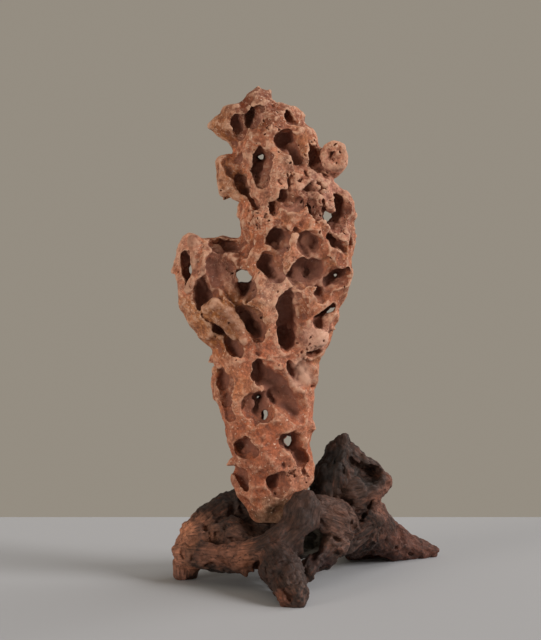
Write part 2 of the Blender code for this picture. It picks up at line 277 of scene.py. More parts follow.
through = 200
rockShape = {
    "bodyVoxel": 3.5, "cutterVoxel": 2.2, "rockVoxel": 1.7, "poreVoxel": 0.9, "triangles": 196000,
    "bodyRelax": 7, "rockRelax": 1,
    # roughness: kind, size and height; warps: size and swing
    "bodyRough": [("VORONOI", 30, 13), ("CLOUDS", 45, 8)], "skinRough": [("VORONOI", 13, 2.4)],
    "pitWarps": [(26, 9), (9, 3.5)], "rockWarps": [(13, 3.5)], "poreWarps": [(5, 2.4)],
    # rounds of smoothing behind each stored relief, and what counts as deep
    "reliefs": {"sharp": 2, "rim": 6, "swell": 70}, "deep": 30,
    # height, left, right, front, back
    "column": [
        (85, -19, 17, -14, 20), (97, -35, 32, -28, 32), (120, -43, 50, -38, 40), (150, -55, 65, -44, 46),
        (180, -62, 62, -46, 48), (210, -65, 62, -48, 48), (240, -70, 63, -50, 48), (270, -80, 67, -52, 50),
        (300, -85, 71, -54, 50), (330, -84, 75, -56, 52), (352, -86, 86, -58, 54), (382, -86, 99, -60, 56),
        (420, -73, 111, -62, 58), (450, -58, 120, -62, 58), (480, -46, 122, -60, 60),
        (510, -44, 123, -58, 60), (547, -50, 121, -55, 60), (570, -46, 110, -52, 60),
        (592, -48, 96, -50, 58), (622, -52, 84, -48, 58), (652, -58, 75, -46, 56), (675, -62, 65, -42, 52),
        (697, -56, 41, -36, 46), (714, -46, 14, -26, 38), (729, -34, 0, -12, 26), (737, -22, -13, 0, 12),
    ],
    # the arm at the left with its flat top
    "arm": [
        (345, -88, -40, -30, 30), (360, -102, -40, -38, 34), (378, -115, -40, -42, 38),
        (392, -128, -40, -44, 40), (412, -136, -38, -46, 42), (435, -139, -38, -46, 42),
        (465, -140, -36, -44, 42), (490, -137, -36, -40, 42), (503, -133, -38, -34, 40),
        (511, -126, -44, -24, 34),
    ],
    # x, y, z, half width, half depth, half height
    "lumps": [
        (-64, -4, 606, 20, 26, 30), (-48, -4, 584, 14, 20, 20), (95, -6, 636, 21, 24, 19),
        (96, -6, 625, 16, 22, 16), (33, 8, 694, 19, 22, 11), (68, -38, 366, 20, 20, 17),
        (112, 0, 560, 15, 28, 24), (108, 2, 530, 16, 30, 26),
    ],
    # x, y, z and radius at the root, then at the tip
    "spurs": [
        ((-46, 0, 684, 30), (-89, 0, 681, 3)), ((-46, 2, 697, 18), (-58, 2, 701, 5)),
        ((-50, 0, 652, 12), (-76, 0, 670, 7)), ((-62, -4, 590, 14), (-71, -6, 574, 3)),
        ((-18, 6, 720, 11), (-20, 4, 738, 4)), ((-6, 8, 720, 11), (-3, 8, 733, 4)),
        ((-74, 0, 336, 16), (-90, 0, 327, 3)), ((52, -6, 232, 14), (64, -8, 229, 3)),
        ((-50, 6, 178, 13), (-64, 6, 173, 4)), ((-126, 0, 478, 16), (-144, -2, 462, 4)),
        ((92, 0, 584, 14), (111, 4, 577, 4)), ((112, 0, 552, 14), (126, 0, 546, 4)),
        ((-96, 0, 376, 14), (-98, 0, 362, 3)), ((82, -20, 384, 12), (97, -24, 376, 4)),
        ((-120, 0, 502, 15), (-128, -6, 510, 5)),
    ],
    # how far a pit runs to the left for each step inward, from none at x -70 to all at x -10
    "drift": 0.3, "driftEnds": (-70, -10),
    # x, z, half width, half height, lean to the left in degrees, depth
    "pits": [
        (-49, 682, 9, 17, 0, 27), (-49, 664, 9, 9, 0, 10), (-27, 694, 6, 18, -5, 34),
        (-15, 707, 8, 5, 0, 10), (28, 693, 8, 11, 25, 26), (26, 657, 17, 16, 0, 40),
        (41, 636, 11, 20, 15, 34), (66, 634, 14, 18, 0, 29), (66, 622, 12, 9, 0, 29),
        (-15, 621, 12, 28, -8, 40), (-14, 634, 8, 8, 0, through), (-62, 632, 12, 6, 30, 12),
        (-61, 616, 6, 20, 48, 13), (-41, 592, 9, 19, 24, 22), (-25, 566, 5, 11, 25, 26),
        (19, 574, 11, 12, 0, 30), (30, 564, 15, 11, 0, 14), (57, 583, 10, 6, 0, 18),
        (27, 594, 4, 9, -10, 16), (2, 558, 5, 11, -12, 20), (63, 556, 8, 15, 15, 32),
        (103, 560, 11, 19, 0, 42), (95, 538, 18, 11, 0, 38), (84, 547, 8, 12, 0, through),
        (84, 547, 7, 11, 0, 30), (92, 511, 6, 14, 38, 24), (108, 501, 5, 12, 38, 20),
        (-28, 545, 14, 9, 0, 6), (10, 510, 15, 18, 0, 36), (57, 505, 18, 18, 0, 26),
        (71, 503, 7, 15, 0, 32), (-1, 469, 13, 22, 25, 36), (7, 458, 7, 8, 0, 46),
        (57, 465, 28, 18, 0, 28), (37, 457, 11, 14, -10, 40), (63, 461, 10, 13, 0, 42),
        (100, 455, 10, 25, -62, 34), (97, 457, 5, 5, 0, through), (74, 431, 11, 10, 0, 26),
        (84, 401, 7, 21, -62, 42), (92, 404, 8, 15, -62, through), (76, 385, 11, 11, 0, 22),
        (26, 389, 17, 43, 0, 38), (26, 362, 16, 18, 0, 52), (26, 410, 16, 20, 0, 36),
        (-31, 390, 14, 30, 38, 38), (-22, 376, 12, 13, 0, 50), (-73, 378, 15, 10, 0, 26),
        (-58, 353, 9, 20, 34, 24), (-46, 457, 9, 12, 0, through), (-34, 456, 10, 13, 0, through),
        (-39, 463, 13, 7, 0, through), (-37, 436, 14, 14, 0, 50), (-125, 468, 10, 29, 5, 30),
        (-118, 466, 7, 15, 0, through), (-101, 424, 14, 31, 10, 36), (-72, 466, 26, 34, 20, 20),
        (-66, 503, 28, 14, 0, 42), (-58, 436, 12, 16, 30, 30), (-15, 311, 12, 21, 12, 36),
        (16, 281, 18, 46, 40, 25), (6, 272, 6, 14, 38, 36), (49, 312, 21, 20, 10, 12),
        (33, 312, 5, 17, 24, 26), (66, 341, 16, 7, 0, 28), (-72, 300, 12, 20, 15, 28),
        (-66, 272, 13, 17, 10, 26), (-66, 252, 7, 13, 15, 14), (-28, 260, 17, 20, 0, 18),
        (-13, 261, 11, 19, 0, 44), (-7, 246, 7, 12, 0, through), (-18, 274, 4, 6, 0, through),
        (-40, 199, 16, 13, 0, 26), (-43, 197, 9, 9, 0, 34), (33, 207, 19, 16, 0, 36),
        (26, 209, 9, 11, 0, through), (48, 180, 12, 15, 20, 24), (42, 193, 11, 15, 30, 24),
        (-44, 153, 8, 27, 36, 20), (-53, 166, 7, 16, 34, 14), (6, 145, 13, 16, 5, 30),
        # small ones of the front
        (53, 608, 5, 8, 30, 14), (77, 591, 3, 7, 0, 12), (67, 576, 5, 5, 0, 14), (93, 636, 5, 8, -20, 22),
        (-67, 689, 2.5, 2, 0, 7), (66, 665, 3, 6, 20, 9), (60, 651, 3, 6, 0, 9), (119, 507, 4, 12, 5, 18),
        (-12, 733, 3, 6, 0, through), (51, 157, 4, 14, 45, 9), (-92, 443, 5, 10, 0, 10),
        (8, 124, 9, 3, 0, 9), (-8, 542, 4, 4, 0, 7), (40, 525, 5, 4, 0, 8), (-20, 340, 4, 4, 0, 6),
        (64, 291, 4, 8, 70, 10), (-2, 215, 4, 3, 0, 5), (20, 170, 5, 4, 0, 6), (44, 596, 5, 4, 20, 12),
        (84, 604, 6, 4, 0, 10), (70, 596, 4, 3, 0, 10), (48, 566, 3, 5, 0, 10), (8, 528, 4, 3, 0, 7),
        (88, 480, 5, 3, -30, 9), (30, 436, 4, 3, 0, 6), (-2, 430, 3, 3, 0, 6), (56, 420, 3, 5, 0, 7),
        (97, 635, 11, 13, -15, 6), (62, 590, 3, 7, 40, 11), (50, 584, 3, 6, -30, 10),
        (76, 580, 3, 6, 30, 11), (84, 588, 3, 5, -20, 10), (70, 566, 3, 7, 20, 12),
        (40, 580, 3, 6, 30, 10), (34, 604, 3, 6, 35, 8), (92, 600, 4, 3, 0, 8), (48, 600, 2.5, 6, -35, 8),
        (80, 566, 3, 6, -10, 12), (14, 596, 2.5, 6, 20, 7),
    ],
    # ribs left standing between the pits of the arm
    "ribs": [
        [(-113, -28, 508, 11), (-111, -34, 490, 9), (-110, -36, 474, 7), (-110, -36, 464, 6),
            (-115, -36, 450, 5), (-121, -34, 436, 6)],
        [(-94, -38, 408, 9), (-82, -42, 412, 12), (-64, -46, 403, 11), (-50, -48, 386, 9),
            (-38, -52, 362, 8)],
        [(-92, -34, 398, 8), (-78, -38, 398, 12), (-62, -42, 386, 11), (-50, -45, 370, 9)],
        [(-84, -8, 490, 14), (-74, -12, 468, 15), (-64, -16, 444, 15), (-54, -22, 420, 13)],
    ],
    # sharp points that stand out of the outline
    "prongs": [
        [(-20, 4, 726, 7), (-19, 3, 738, 3)], [(-5, 6, 722, 7), (-1, 6, 733, 3)],
        [(-62, 0, 578, 6), (-71, 0, 570, 2)], [(-137, -6, 468, 7), (-146, -8, 463, 3)],
        [(-84, 0, 332, 7), (-92, 0, 327, 2)], [(54, -16, 230, 8), (65, -18, 228, 3)],
        [(-54, 6, 177, 7), (-65, 4, 172, 2)], [(116, 0, 512, 7), (127, 0, 516, 3)],
        [(118, 0, 556, 7), (127, 2, 548, 3)], [(-80, 0, 314, 8), (-86, 0, 296, 4), (-83, 0, 272, 4)],
        [(-42, 0, 560, 9), (-45, 0, 548, 6)],
    ],
    # the thick rim round the hole of the right knob
    "knobRim": [
        (94, -21, 650, 7.5), (104, -21, 646, 7.5), (107, -21, 634, 7.5), (104, -21, 622, 7.5),
        (94, -21, 618, 7.5), (84, -20, 623, 7), (80, -19, 634, 7), (84, -20, 646, 7), (94, -21, 650, 7.5),
    ],
    # knobs on the floors of the pits: x, z, radius and how far they are sunk
    "nubs": [
        (52, 509, 13, 5), (6, 502, 6, 2), (18, 506, 5, 2), (6, 456, 6, 2), (61, 457, 5, 2),
        (46, 466, 5, 2), (4, 140, 7, 2), (28, 382, 6, 2), (-20, 383, 7, 2), (-30, 262, 7, 2),
        (-14, 261, 6, 2), (-38, 192, 6, 3), (50, 300, 13, 7), (58, 317, 12, 7), (43, 318, 10, 6),
        (29, 651, 5, 2), (-22, 688, 5, 2), (-13, 704, 5, 2), (30, 566, 6, 2), (-62, 350, 5, 2),
        (20, 372, 5, 2), (96, 548, 5, 2), (-74, 470, 9, 3), (-70, 438, 7, 2),
    ],
    "nubDepth": 0.8, "nubHeight": 1.1,
}

# an ellipsoid's share of its pit's depth; then the slope at the mouth of a large pit:
# from what depth and size, how far right and down, how much wider and how deep
boreShape = {
    "share": 0.75, "throughShare": 0.5, "largeDepth": 10, "largeSize": 45,
    "right": 0.55, "down": 0.15, "wider": 0.3, "deep": 11,
}


def bore(bm, skin, start, aim, across, tall, lean, depth, drift=0.0):
    # one pit: an ellipsoid sunk along the aim from where it meets the skin
    entry = skin.ray_cast(start, aim)[0]
    if entry is None:
        return
    right = aim.cross(Vector((0, 0, 1))).normalized()
    up = right.cross(aim)
    deep = depth * boreShape["throughShare"]
    if depth != through:
        deep = depth * boreShape["share"]
        aim = (aim - right * drift + up * drift / 2).normalized()
        right = aim.cross(up).normalized()
    turn = Matrix((right, aim, right.cross(aim))).transposed().to_4x4()
    turn = turn @ Matrix.Rotation(math.radians(-lean), 4, "Y")
    centre = entry + aim * (depth - deep) * mm
    addEllipsoid(bm, Matrix.Translation(centre) @ turn, across, deep, tall)
    if through > depth > boreShape["largeDepth"] and across * tall > boreShape["largeSize"]:
        aside = right * across * boreShape["right"] - up * tall * boreShape["down"]
        wider = min(across, tall) * boreShape["wider"] + 1
        addEllipsoid(bm, Matrix.Translation(entry + aside * mm) @ turn,
                     across + wider, boreShape["deep"], tall + wider)


def aimAt(x, z):
    # from the view point through a place on the rock's middle plane
    start = mmVector(*viewPoint)
    return start, (mmVector(x, 0, z) - start).normalized()


def levelAt(levels, z):
    for low, high in zip(levels, levels[1:]):
        if low[0] <= z <= high[0]:
            share = (z - low[0]) / (high[0] - low[0])
            return [a + (b - a) * share for a, b in zip(low[1:], high[1:])]


# the pits at the back: half widths and places tried, then what is drawn for each
backShape = {
    "seed": 11, "sizes": [((15, 21), 60), ((9, 14), 220), ((4, 7), 260)],
    "height": (130, 715), "turn": (-66, 68), "tallness": (1.0, 2.1), "slope": (-0.3, 0.2),
    "depth": (0.9, 2.4), "lean": (-45, -5), "deepest": 29, "spacing": 1.02, "outward": 0.22,
    "startBack": 400,
}


def boreBack(bm, skin):
    # pits of three sizes scattered round the back, leaning like the front's
    shape = backShape
    rng = random.Random(shape["seed"])
    taken = []
    for sizes, tries in shape["sizes"]:
        for _ in range(tries):
            height = rng.uniform(*shape["height"])
            turn = math.radians(rng.uniform(*shape["turn"]))
            across = rng.uniform(*sizes)
            tall = across * rng.uniform(*shape["tallness"])
            left, right, front, back = levelAt(rockShape["column"], height)
            spot = Vector((math.sin(turn) * (right - left) / 2,
                           math.cos(turn) * (back - front) / 2, height))
            reach = (across + tall) / 2
            if any((spot - other).length < (reach + far) * shape["spacing"]
                   for other, far in taken):
                continue
            taken.append((spot, reach))
            out = Vector((math.sin(turn), math.cos(turn), 0))
            axis = mmVector((left + right) / 2 + out.x * (right - left) * shape["outward"],
                            (front + back) / 2, height)
            aim = Vector((-out.x, -out.y, rng.uniform(*shape["slope"]))).normalized()
            depth = min(across * rng.uniform(*shape["depth"]), shape["deepest"] * math.cos(turn))
            start = axis - aim * (shape["startBack"] * mm)
            bore(bm, skin, start, aim, across, tall, rng.uniform(*shape["lean"]), depth)


# fine pits: how many, their radii, how far sunk and drawn out, and where they crowd together
poreShape = {
    "seed": 5, "count": 380, "radius": (1.0, 2.6), "mostlySmall": 2.5, "sunk": 0.5,
    "drawnOut": (1, 1.9), "depth": 1.6,
    # centre, reach and how many more
    "sponges": [
        ((58, -40, 590), 46, 120), ((75, -20, 640), 30, 50), ((-18, -40, 545), 30, 40),
        ((85, -30, 540), 34, 50), ((48, -40, 165), 24, 40), ((60, -50, 345), 26, 40),
        ((2, -34, 678), 22, 30), ((0, 50, 600), 70, 110), ((20, 50, 300), 70, 80),
    ],
}


def addPores(bm, body):
    # small holes bored at random points of the skin, more of them in the sponge-like places
    shape = poreShape
    rng = random.Random(shape["seed"])
    points = readPoints(body.data)
    normals = readNormals(body.data)
    chosen = [rng.randrange(len(points)) for _ in range(shape["count"])]
    for centre, reach, count in shape["sponges"]:
        near = np.flatnonzero(np.linalg.norm(points / mm - centre, axis=1) < reach)
        chosen += [int(near[rng.randrange(len(near))]) for _ in range(count)]
    small, large = shape["radius"]
    for index in chosen:
        radius = small + (large - small) * rng.random() ** shape["mostlySmall"]
        out = Vector(normals[index])
        place = Matrix.Translation(Vector(points[index]) - out * radius * shape["sunk"] * mm)
        turn = out.to_track_quat("Z", "Y").to_matrix().to_4x4()
        turn = turn @ Matrix.Rotation(rng.uniform(0, math.tau), 4, "Z")
        addEllipsoid(bm, place @ turn, radius, radius * rng.uniform(*shape["drawnOut"]),
                     radius * shape["depth"], cuts=1)


def addLeftStanding(bm, carved):
    # ribs and prongs, then knobs where the view of a pit ends on its floor
    for points in rockShape["ribs"] + rockShape["prongs"] + [rockShape["knobRim"]]:
        addLimb(bm, points)
    for x, z, radius, sunk in rockShape["nubs"]:
        start, aim = aimAt(x, z)
        floor = carved.ray_cast(start, aim)[0]
        if floor:
            addBall(bm, *floor / mm + aim * sunk, radius, radius * rockShape["nubDepth"],
                    radius * rockShape["nubHeight"])


# the stone's skin: sizes and heights of its crags, crests and grain, and its roughness
stoneSkin = {
    "cragSize": 17, "crag": 1.7, "crestSize": 42, "crest": 2.2, "grainSize": 3.2, "grain": 0.5,
    "plain": 0.24, "spongy": 0.75, "spongeReach": 1.2, "spongeEdge": 1.6,
}


def weatherStone(rock):
    # ridged crags, coarse in the sponge-like places and faint on the smooth ribs
    skin = stoneSkin
    points = readPoints(rock.data) / mm
    rough = np.full(len(points), skin["plain"])
    for centre, reach, _ in poreShape["sponges"]:
        near = 1 - np.linalg.norm(points - centre, axis=1) / (reach * skin["spongeReach"])
        spongy = np.clip(near * skin["spongeEdge"], 0, 1) * skin["spongy"]
        rough = np.maximum(rough, skin["plain"] + spongy)
    heights = np.empty(len(points))
    for index, point in enumerate(points):
        at = Vector(point)
        crag = ridged(at / skin["cragSize"], 0.9, 2.2, 4) * skin["crag"]
        grain = noise.noise(at / skin["grainSize"]) * skin["grain"]
        crest = ridged(at / skin["crestSize"], 1, 2, 2) * skin["crest"]
        heights[index] = (crag + grain) * rough[index] + crest
    pushOut(rock.data, heights)


def makeRock():
    shape = rockShape
    bm = bmesh.new()
    addLoft(bm, shape["column"])
    addLoft(bm, shape["arm"])
    for lump in shape["lumps"]:
        addBall(bm, *lump)
    for spur in shape["spurs"]:
        addLimb(bm, spur)
    rock = toObject("rockDressed", bm)
    remesh(rock, shape["bodyVoxel"], shape["bodyRelax"])
    roughen(rock, shape["bodyRough"])
    skin = skinOf(rock)
    print("rock body", len(rock.data.polygons))

    bm = bmesh.new()
    low, high = shape["driftEnds"]
    for x, z, across, tall, lean, depth in shape["pits"]:
        drift = shape["drift"] * min(1, max(0, (x - low) / (high - low)))
        bore(bm, skin, *aimAt(x, z), across, tall, lean, depth, drift)
    boreBack(bm, skin)
    pits = meltTogether("pits", bm, shape["cutterVoxel"], shape["pitWarps"])
    print("pits", len(pits.data.polygons))

    roughen(rock, shape["skinRough"])
    cutAway(rock, pits)
    carved = skinOf(rock)
    editMesh(rock, lambda bm: addLeftStanding(bm, carved))
    remesh(rock, shape["rockVoxel"], shape["rockRelax"])
    warp(rock, shape["rockWarps"])
    weatherStone(rock)
    print("rock carved", len(rock.data.polygons))

    bm = bmesh.new()
    addPores(bm, rock)
    cutAway(rock, meltTogether("pores", bm, shape["poreVoxel"], shape["poreWarps"]))
    keepLargest(rock)
    thinOut(rock, shape["triangles"])
    mesh = rock.data
    # depth, how far each point lies inside the uncarved body, steers the painted shade in the pits
    depths = np.array([skin.find_nearest(vert.co)[3] for vert in mesh.vertices])
    storeValue(mesh, "depth", depths / mm / shape["deep"])
    # the reliefs steer the painted highlights on swells, rims and ridges and the painted shade in dips and
    # creases
    for name, rounds in shape["reliefs"].items():
        storeValue(mesh, name, relief(mesh, rounds))
    print("rock finished", len(mesh.polygons))
    return rock


# the root stand

standShape = {
    "voxel": 2.3, "relax": 10, "hollowVoxel": 1.61, "fineVoxel": 1.5, "fineRelax": 2,
    "triangles": 190000, "rough": [("CLOUDS", 30, 9), ("VORONOI", 22, 6)],
    "fineRough": [("CLOUDS", 3, 0.9)], "hollowWarps": [(20, 5), (7, 2.8)],
    # how deep the fissures of each limb are, then x, y, z and radius along it
    "limbs": [
        (2.0, [(-127, -3, 12, 19), (-125, 0, 42, 23), (-111, 10, 63, 26), (-90, 27, 80, 28),
            (-64, 42, 97, 28), (-36, 52, 100, 28), (0, 60, 92, 28), (40, 58, 90, 28), (70, 45, 95, 30)]),
        (1.6, [(-118, -4, 60, 19), (-128, -6, 54, 11)]),
        (0.7, [(-128, -8, 38, 22), (-100, -38, 41, 21), (-72, -56, 41, 21), (-42, -68, 45, 22),
            (-12, -74, 50, 25), (20, -70, 66, 27), (42, -61, 88, 28), (48, -56, 110, 27),
            (50, -54, 127, 16), (48, -55, 137, 8)]),
        (0.6, [(-36, -72, 42, 12), (-36, -80, 26, 9), (-35, -80, 20, 6)]),
        (1.7, [(10, -85, 42, 28), (17, -118, 37, 29), (25, -152, 26, 26), (32, -188, 13, 21)]),
        (1.1, [(58, -42, 100, 28), (84, -26, 93, 34), (97, -14, 85, 35)]),
        (1.6, [(98, 22, 100, 38), (101, 28, 148, 36), (106, 31, 180, 24), (108, 32, 204, 13)]),
        (1.6, [(78, 34, 100, 30), (84, 34, 138, 21), (92, 32, 170, 16)]),
        (1.8, [(108, 36, 192, 17), (134, 40, 167, 19), (158, 42, 151, 18), (173, 38, 143, 13)]),
        (1.6, [(125, 20, 125, 33), (146, 22, 128, 27), (164, 26, 138, 17)]),
        (1.3, [(139, 36, 100, 31), (154, 75, 74, 32), (175, 115, 44, 30), (202, 151, 25, 27),
            (233, 172, 14, 20), (262, 175, 8, 13)]),
        (2.4, [(140, 60, 70, 34), (138, 115, 44, 34), (136, 166, 19, 24), (190, 182, 14, 18)]),
        (2.2, [(98, -40, 60, 18), (84, -55, 56, 15), (71, -63, 47, 13), (61, -72, 37, 12),
            (53, -80, 27, 12), (52, -86, 18, 8)]),
        (1.6, [(84, -44, 46, 17), (70, -52, 34, 12)]),
        (2.2, [(-5, 62, 70, 26), (-25, 95, 48, 24), (-38, 120, 18, 22)]),
        (1.6, [(-14, 26, 60, 33), (5, 22, 60, 34), (30, 18, 62, 34), (62, 26, 60, 34), (98, 30, 62, 34)]),
        (2.0, [(-104, -8, 56, 26), (-62, -2, 62, 30), (-24, 4, 52, 28), (-6, -40, 44, 24)]),
        (1.6, [(-56, -26, 68, 18), (-36, -30, 60, 16)]), (1.8, [(98, 20, 62, 32), (128, 40, 80, 34)]),
    ],
    # x, y, z, half width, half depth, half height
    "hollows": [
        (152, 14, 156, 21, 38, 15), (61, -60, 66, 17, 56, 21), (62, -24, 62, 18, 34, 20),
        (-8, -36, 86, 30, 20, 20),
    ],
    # gouges in the front: x, z, half width, half height, lean to the left, depth
    "gouges": [
        (-91, 62, 14, 19, -15, 11), (-100, 78, 4, 8, 10, 16), (-58, 60, 7, 3, 15, 12),
        (-22, 18, 6, 9, 0, 22), (-76, 90, 3, 10, -40, 10), (100, 120, 3, 17, 52, 9),
        (116, 104, 3, 15, 20, 10), (122, 82, 3, 14, -10, 10), (100, 60, 12, 3, -20, 10),
        (78, 84, 2.5, 12, 40, 7), (150, 112, 4, 11, -22, 18), (140, 94, 3, 12, -30, 14),
        (128, 78, 3, 12, -35, 12), (98, 122, 2.5, 12, -55, 9), (118, 112, 2.5, 12, -35, 9),
        (130, 96, 3, 12, 5, 10), (88, 100, 2.5, 16, -50, 8), (112, 130, 2.5, 14, -62, 7),
        (124, 176, 2.5, 14, 35, 9), (132, 170, 2.5, 14, 42, 9), (140, 172, 2.5, 10, 50, 8),
        (112, 160, 2.5, 20, 20, 7), (98, 176, 2.5, 20, -14, 7), (170, 118, 2.5, 9, 20, 7),
        (172, 60, 2.5, 22, 52, 8), (190, 44, 2.5, 22, 58, 8), (150, 36, 3, 20, 45, 8),
        (210, 36, 2.5, 20, 62, 8), (172, 30, 2.5, 16, 55, 7), (64, 30, 5, 3, 0, 8),
        (-134, 40, 2.5, 12, 10, 7), (-118, 30, 2.5, 12, -10, 7),
    ],
    # creases that run along the skin: half width, how far sunk, then x and z of each place
    "creases": [
        (4.2, 0, [(4, 9), (7, 1), (12, -8), (23, -18), (29, -29), (32, -39)]),
        (2.8, 0, [(-8, 18), (-6, 2), (0, -12), (9, -25)]), (3.2, 0, [(11, 9), (18, 2), (21, -6)]),
        (3.2, 0, [(0, 20), (16, 23), (30, 25), (44, 25)]), (2.8, 0, [(50, 4), (53, -8), (54, -22)]),
        (2.4, 0, [(36, 10), (40, -6), (42, -20)]), (2.4, 9, [(-100, 65), (-100, 52), (-96, 43)]),
        (2.4, 11, [(-92, 74), (-93, 60), (-90, 43)]), (2.4, 11, [(-84, 74), (-84, 60), (-85, 46)]),
        (2.4, 4, [(-77, 76), (-78, 63), (-79, 52)]), (3, 0, [(-69, 49), (-60, 58), (-45, 52)]),
        (3, 0, [(-72, 84), (-69, 72), (-71, 56)]), (2, 0, [(-125, 60), (-122, 49), (-119, 38)]),
        (2.2, 0, [(-104, 35), (-88, 31), (-72, 27), (-58, 20), (-50, 14)]),
        (4, 0, [(-107, 13), (-94, 19), (-78, 17), (-63, 13), (-48, 6)]),
        (2, 0, [(-132, 52), (-130, 36), (-132, 20)]), (2.2, 0, [(-112, 34), (-114, 20), (-118, 8)]),
        (2.6, 0, [(102, 124), (112, 116), (124, 104), (130, 92)]),
        (2.4, 0, [(88, 104), (100, 98), (112, 92), (120, 82)]),
        (2.4, 0, [(94, 134), (112, 134), (128, 126)]), (2.4, 0, [(110, 196), (118, 178), (132, 160)]),
        (2.4, 0, [(104, 186), (106, 166), (110, 148)]), (2.4, 0, [(160, 60), (172, 40), (186, 22)]),
    ],
    # a crease's balls between two places, how thin its ends are, and a ball's depth and height
    "creaseBalls": (6, 0.4, 3, 1.3),
    # the gap round the stone's foot, and how high the foot reaches
    "socketGap": 0.8, "footTop": 175,
    # the block below the floor: centre and sizes
    "ground": ((60, 0, -100), (800, 800, 200)),
}

# the root's skin: sizes across and along the grain, then heights and depths
barkSkin = {
    "seed": 4, "bends": ((48, 20), (17, 5)), "swellSize": (20, 9), "swell": 4,
    "grooveFiner": 1.3, "grooveShift": (7, 3, 1), "grooveWidth": 0.075, "groove": 1.9,
    "strandSize": (8, 5), "brokenSize": 24, "brokenMore": 0.15, "cragSize": 13, "crag": 3,
    # along a limb the grain is shortened, and each limb's starts further on
    "shortened": 0.13, "apart": 40,
}


def grainOf(points):
    # where each point lies on its nearest limb: across, across and a shortened way along;
    # the first way across is carried along the limb without twisting
    best = np.full(len(points), 1e9)
    grain = np.zeros((len(points), 3))
    fissure = np.zeros(len(points))
    for number, (depth, limb) in enumerate(standShape["limbs"]):
        run = 0
        side = None
        for start, end in zip(limb, limb[1:]):
            along = Vector(end[:3]) - Vector(start[:3])
            length = along.length
            along.normalize()
            side = side - along * side.dot(along) if side else along.orthogonal()
            side.normalize()
            offset = points - np.array(start[:3])
            reach = np.clip(offset @ np.array(along), 0, length)
            nearest = offset - reach[:, None] * np.array(along)
            radius = start[3] + (end[3] - start[3]) * reach / length
            distance = np.linalg.norm(nearest, axis=1) - radius
            closer = distance < best
            best[closer] = distance[closer]
            grain[closer, 0] = (nearest @ np.array(side))[closer]
            grain[closer, 1] = (nearest @ np.array(along.cross(side)))[closer]
            grain[closer, 2] = ((run + reach[closer]) * barkSkin["shortened"]
                                + number * barkSkin["apart"])
            fissure[closer] = depth
            run += length
    return grain, fissure


def rockFoot(rock, gap):
    # the hull of the stone's lower end, a little larger all round
    bm = bmesh.new()
    for point in readPoints(rock.data):
        if point[2] <= standShape["footTop"] * mm:
            bm.verts.new(point)
    hull = bmesh.ops.convex_hull(bm, input=bm.verts)
    spare = [item for item in hull["geom_interior"] if isinstance(item, bmesh.types.BMVert)]
    bmesh.ops.delete(bm, geom=spare, context="VERTS")
    bmesh.ops.recalc_face_normals(bm, faces=bm.faces)
    for vert in bm.verts:
        vert.co += vert.normal * gap * mm
    return toObject("rockFoot", bm)


def stretched(at, across, along):
    return Vector((at.x / across, at.y / across, at.z / along))


def carveFissures(stand):
    # swellings, wandering grooves along the grain, and patches where the skin is broken
    skin = barkSkin
    points = readPoints(stand.data)
    grain, fissure = grainOf(points / mm)
    noise.seed_set(skin["seed"])
    heights = np.empty(len(points))
    for index, depth in enumerate(fissure):
        place = Vector(points[index]) / mm
        bends = [noise.noise_vector(place / size) * swing for size, swing in skin["bends"]]
        at = Vector(grain[index]) + sum(bends, Vector())
        swollen = stretched(at, *skin["swellSize"])
        line = noise.noise(swollen * skin["grooveFiner"] + Vector(skin["grooveShift"]))
        groove = math.exp(-(line / skin["grooveWidth"]) ** 2)
        strand = ridged(stretched(at, *skin["strandSize"]), 0.8, 2.3, 4)
        broken = max(0, noise.noise(place / skin["brokenSize"]) + skin["brokenMore"])
        crag = ridged(place / skin["cragSize"], 0.9, 2.2, 4) * broken
        heights[index] = (noise.noise(swollen) * skin["swell"] - groove * skin["groove"] * depth
                          + strand * depth + crag * skin["crag"] * depth)
    pushOut(stand.data, heights)


def addCreases(bm, skin):
    # slots sunk in the skin along aimed places, thin at both ends
    count, thin, deep, tall = standShape["creaseBalls"]
    for radius, sunk, places in standShape["creases"]:
        stops = [Vector(place) for place in places]
        steps = [start.lerp(end, step / count) for start, end in zip(stops, stops[1:])
                 for step in range(count)] + stops[-1:]
        for number, (x, z) in enumerate(steps):
            start, aim = aimAt(x, z)
            touched = skin.ray_cast(start, aim)[0]
            if touched:
                middle = math.sin(math.pi * number / (len(steps) - 1))
                size = radius * (thin + (1 - thin) * middle)
                addBall(bm, *touched / mm + aim * sunk, size, size * deep, size * tall, cuts=2)


def makeStand(rock):
    shape = standShape
    bm = bmesh.new()
    for _, points in shape["limbs"]:
        addLimb(bm, points)
    stand = toObject("rootStand", bm)
    remesh(stand, shape["voxel"], shape["relax"])
    roughen(stand, shape["rough"])
    skin = skinOf(stand)

    bm = bmesh.new()
    for hollow in shape["hollows"]:
        addBall(bm, *hollow, cuts=4)
    for x, z, *gouge in shape["gouges"]:
        bore(bm, skin, *aimAt(x, z), *gouge)
    addCreases(bm, skin)
    cutAway(stand, meltTogether("hollows", bm, shape["hollowVoxel"], shape["hollowWarps"]))
    remesh(stand, shape["fineVoxel"], shape["fineRelax"])
    print("stand body", len(stand.data.polygons))

    carveFissures(stand)
    remesh(stand, shape["fineVoxel"])
    roughen(stand, shape["fineRough"])
    keepLargest(stand)
    thinOut(stand, shape["triangles"])
    cutAway(stand, rockFoot(rock, shape["socketGap"]))
    bm = bmesh.new()
    centre, sizes = shape["ground"]
    place = Matrix.Translation(mmVector(*centre)) @ Matrix.Diagonal((*mmVector(*sizes), 1))
    bmesh.ops.create_cube(bm, size=1, matrix=place)
    cutAway(stand, toObject("ground", bm))
    keepLargest(stand)
    storeValue(stand.data, "grain", grainOf(readPoints(stand.data) / mm)[0])
    print("stand finished", len(stand.data.polygons))
    return stand


# materials

def plug(tree, value, socket):
    # an output is linked; a tuple is a colour
    if isinstance(value, bpy.types.NodeSocket):
        tree.links.new(value, socket)
    else:
        socket.default_value = (*value, 1) if isinstance(value, tuple) else value


